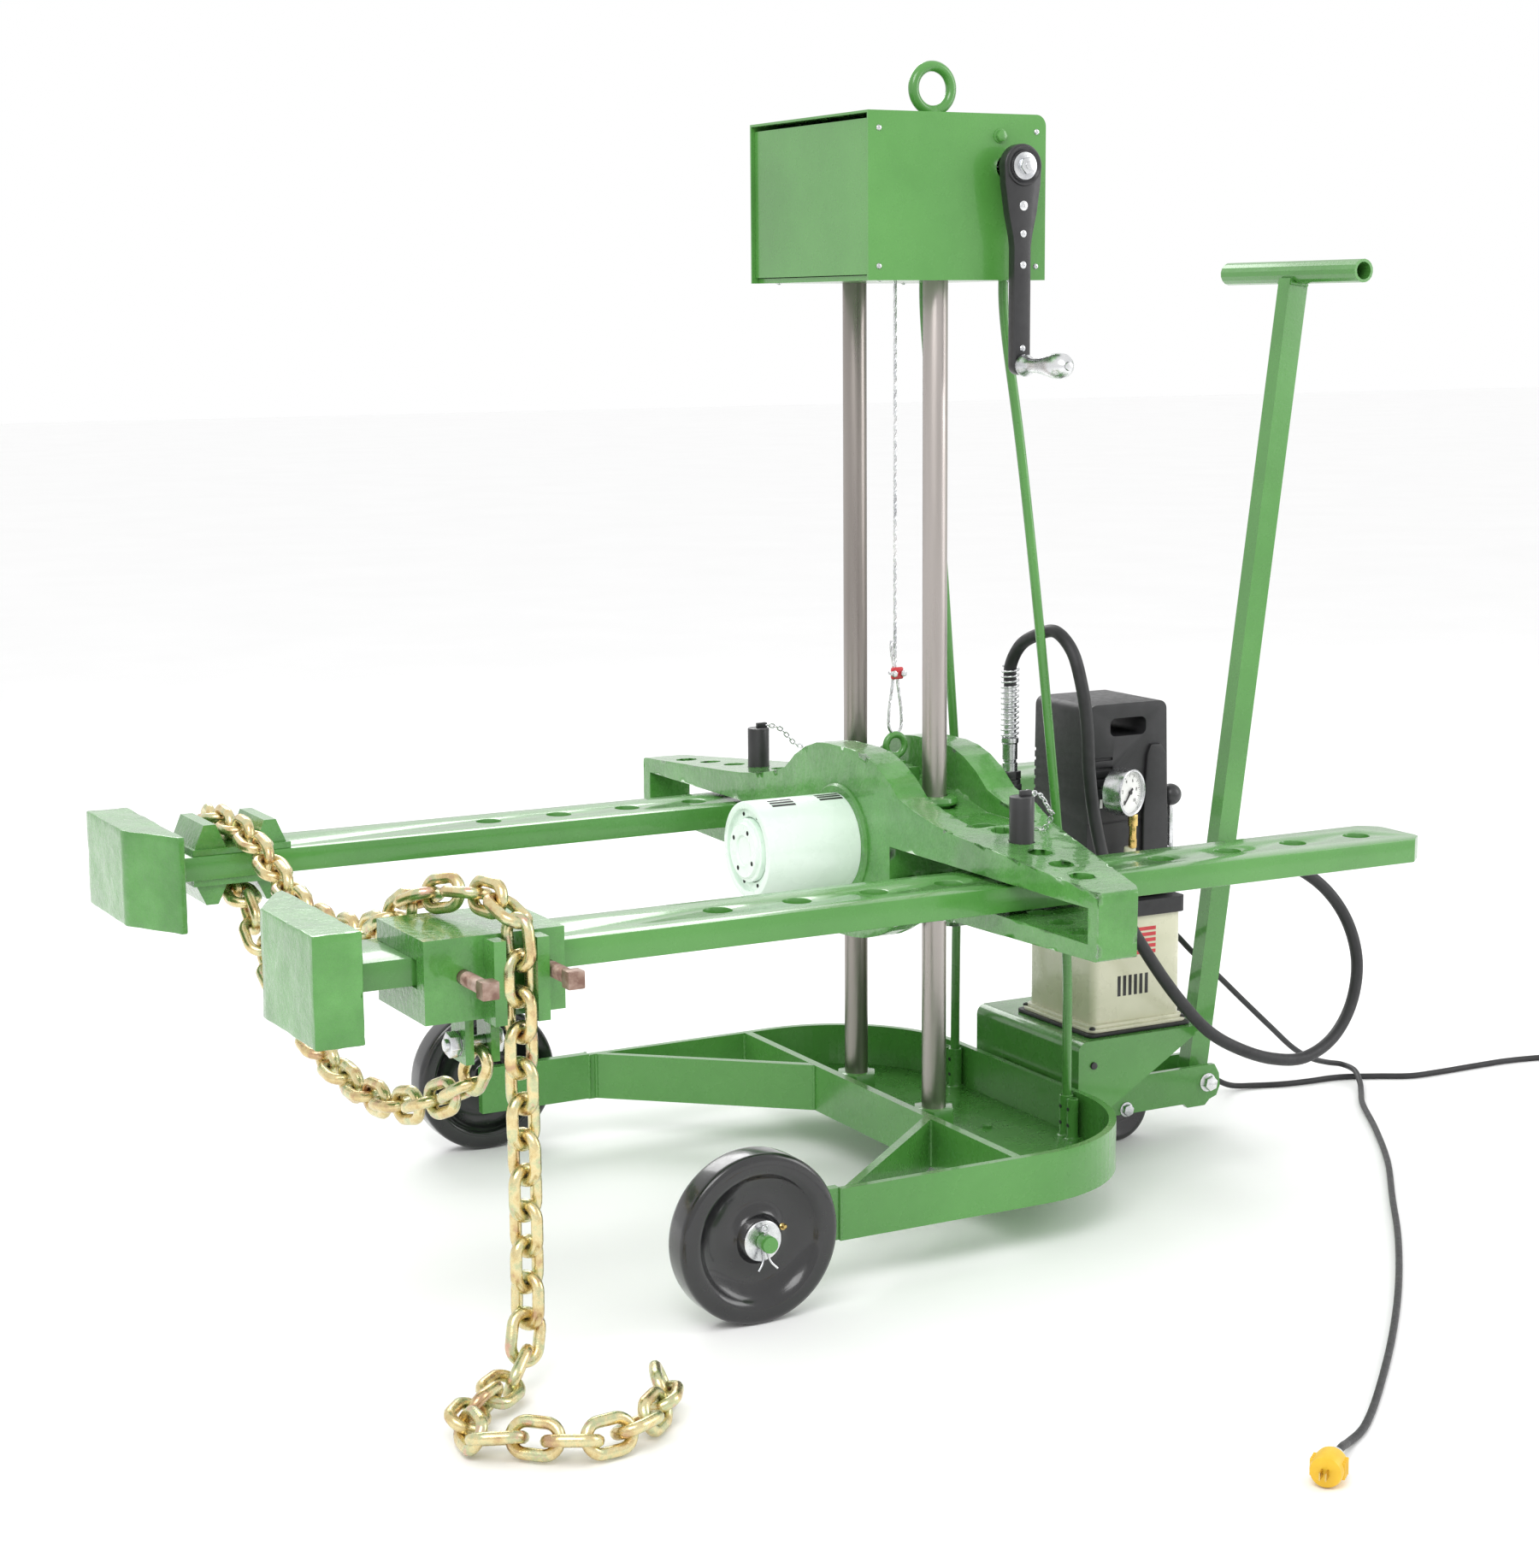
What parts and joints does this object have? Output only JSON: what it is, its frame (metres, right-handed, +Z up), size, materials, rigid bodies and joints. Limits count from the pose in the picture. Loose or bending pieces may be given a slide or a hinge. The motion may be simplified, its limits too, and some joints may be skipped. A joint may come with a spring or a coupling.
{
  "type": "bead breaker",
  "caption": "Wheeled hydraulic bead breaker: a winch-lifted yoke on guide columns carries a ram and pinned pull bars with jaw pads and a tie chain; an electric pump rides behind.",
  "frame": {"origin": "on the floor, under the middle of the machine without its cords", "axes": "+X from the jaw pads to the tow handle along the pull bars, +Y to the far side, +Z up"},
  "size_m": [2.3815, 1.7121, 1.469],
  "materials": {
    "green_paint": "gloss enamel over flat bar and sheet",
    "green_casting": "gloss enamel over a rough casting",
    "column_steel": "oiled ground bar",
    "bright_zinc": "bright zinc plate",
    "black_oxide": "satin black oxide",
    "wheel_black": "glossy moulded phenolic",
    "black_plastic": "textured moulding",
    "black_rubber": "smooth rubber jacket",
    "pale_enamel": "pale gloss enamel",
    "cream_enamel": "gloss enamel on sheet",
    "yellow_chromate": "yellow chromate over zinc",
    "plain_steel": "bare steel with light rust",
    "yellow_plug": "moulded rubber"
  },
  "bodies": {
    "cart": {"base_rail": "green_paint", "cross_beam": "green_paint", "base_deck": "green_paint", "brace_near": "green_paint", "brace_far": "green_paint", "axle_arm_near": "green_paint", "axle_arm_far": "green_paint", "column_near": "column_steel", "column_far": "column_steel", "stay_rod_near": "green_paint", "stay_rod_far": "green_paint", "head_cover": "green_paint", "head_front_panel": "green_paint", "head_deck": "green_paint", "lifting_eye": "green_paint", "pump_shelf": "green_paint", "pump_tank": "cream_enamel", "pump_flange": "black_plastic", "pump_shroud": "black_plastic", "gauge": "bright_zinc", "valve_block": "black_plastic", "cord_entry": "black_plastic", "hose": "black_rubber", "mains_cord": "black_rubber", "mains_plug": "yellow_plug", "pendant_lead": "black_rubber", "pendant_coil": "black_rubber", "pendant_tail": "black_rubber", "pendant_switch": "black_plastic"},
    "wheel_left": {"wheel_near": "wheel_black"},
    "wheel_right": {"wheel_far": "wheel_black"},
    "swivel": {"tongue": "green_paint"},
    "caster": {"caster_wheel": "wheel_black"},
    "handle": {"tow_handle": "green_paint"},
    "winch": {"winch_drum": "bright_zinc"},
    "crank": {"crank_lever": "black_oxide"},
    "grip": {"crank_grip": "bright_zinc"},
    "valve": {"valve_lever": "black_plastic"},
    "needle": {"gauge_needle": "black_plastic"},
    "yoke": {"yoke": "green_casting", "yoke_eyebolt": "green_paint", "lift_rope": "bright_zinc", "rope_clip": "bright_zinc", "ram_body": "pale_enamel", "hose_coupler": "bright_zinc", "chain_loop": "yellow_chromate", "chain_fall": "yellow_chromate"},
    "plunger": {"ram_plunger": "bright_zinc"},
    "bar_near": {"pull_bar_near": "green_paint", "jaw_pad_near": "green_casting", "chain_clamp": "green_casting", "clamp_screw_1": "plain_steel", "clamp_screw_2": "plain_steel", "shackle_bolt": "bright_zinc"},
    "bar_far": {"pull_bar_far": "green_paint", "jaw_pad_far": "green_casting", "chain_saddle": "green_casting"},
    "pin_near": {"drop_pin_near": "black_oxide"},
    "pin_far": {"drop_pin_far": "black_oxide"}
  },
  "joints": [
    {"name": "yoke_lift", "type": "slide", "parent": "cart", "child": "yoke", "axis": [0, 0, 1], "range_m": [-0.17, 0.46], "deforming": ["lift_rope", "hose", "chain_fall"]},
    {"name": "ram_stroke", "type": "slide", "parent": "yoke", "child": "plunger", "axis": [-1, 0, 0], "range_m": [0, 0.12]},
    {"name": "bar_swing_near", "type": "hinge", "parent": "yoke", "child": "bar_near", "pos_m": [0.12622, -0.34, 0.458], "axis": [0, 0, 1], "range_deg": [-3, 3], "deforming": ["chain_loop"]},
    {"name": "bar_swing_far", "type": "hinge", "parent": "yoke", "child": "bar_far", "pos_m": [0.12622, 0.34, 0.458], "axis": [0, 0, 1], "range_deg": [-3, 3]},
    {"name": "pin_lift_near", "type": "slide", "parent": "yoke", "child": "pin_near", "axis": [0, 0, 1], "range_m": [0, 0.17]},
    {"name": "pin_lift_far", "type": "slide", "parent": "yoke", "child": "pin_far", "axis": [0, 0, 1], "range_m": [0, 0.17]},
    {"name": "wheel_spin_near", "type": "hinge", "parent": "cart", "child": "wheel_left", "pos_m": [-0.28078, -0.404, 0.1016], "axis": [0, 1, 0], "continuous": true},
    {"name": "wheel_spin_far", "type": "hinge", "parent": "cart", "child": "wheel_right", "pos_m": [-0.28078, 0.404, 0.1016], "axis": [0, 1, 0], "continuous": true},
    {"name": "tongue_swivel", "type": "hinge", "parent": "cart", "child": "swivel", "pos_m": [0.42022, 0, 0.12], "axis": [0, 0, 1], "range_deg": [-55, 55], "deforming": ["mains_cord", "pendant_lead"]},
    {"name": "caster_spin", "type": "hinge", "parent": "swivel", "child": "caster", "pos_m": [0.50222, 0, 0.0508], "axis": [0, 1, 0], "continuous": true},
    {"name": "handle_tilt", "type": "hinge", "parent": "swivel", "child": "handle", "pos_m": [0.64222, 0, 0.071], "axis": [0, 1, 0], "range_deg": [-3, 68]},
    {"name": "drum_turn", "type": "hinge", "parent": "cart", "child": "winch", "pos_m": [0.17322, 0, 1.29], "axis": [0, 1, 0], "range_deg": [-420, 1130]},
    {"name": "crank_turn", "type": "hinge", "parent": "cart", "child": "crank", "pos_m": [0.22122, 0, 1.328], "axis": [0, 1, 0], "range_deg": [-2820, 1045]},
    {"name": "grip_spin", "type": "hinge", "parent": "crank", "child": "grip", "pos_m": [0.22122, -0.24, 1.085], "axis": [0, 1, 0], "continuous": true},
    {"name": "valve_turn", "type": "hinge", "parent": "cart", "child": "valve", "pos_m": [0.54622, -0.07, 0.42], "axis": [0, 1, 0], "range_deg": [0, 28]},
    {"name": "needle_turn", "type": "hinge", "parent": "cart", "child": "needle", "pos_m": [0.44122, -0.124, 0.517], "axis": [-0.3709, 0.9287, 0], "range_deg": [0, 270]}
  ],
  "couplings": [
    {"joint": "drum_turn", "follows": "yoke_lift", "rad_per_m": 42.735},
    {"joint": "crank_turn", "follows": "yoke_lift", "rad_per_m": -106.84}
  ]
}
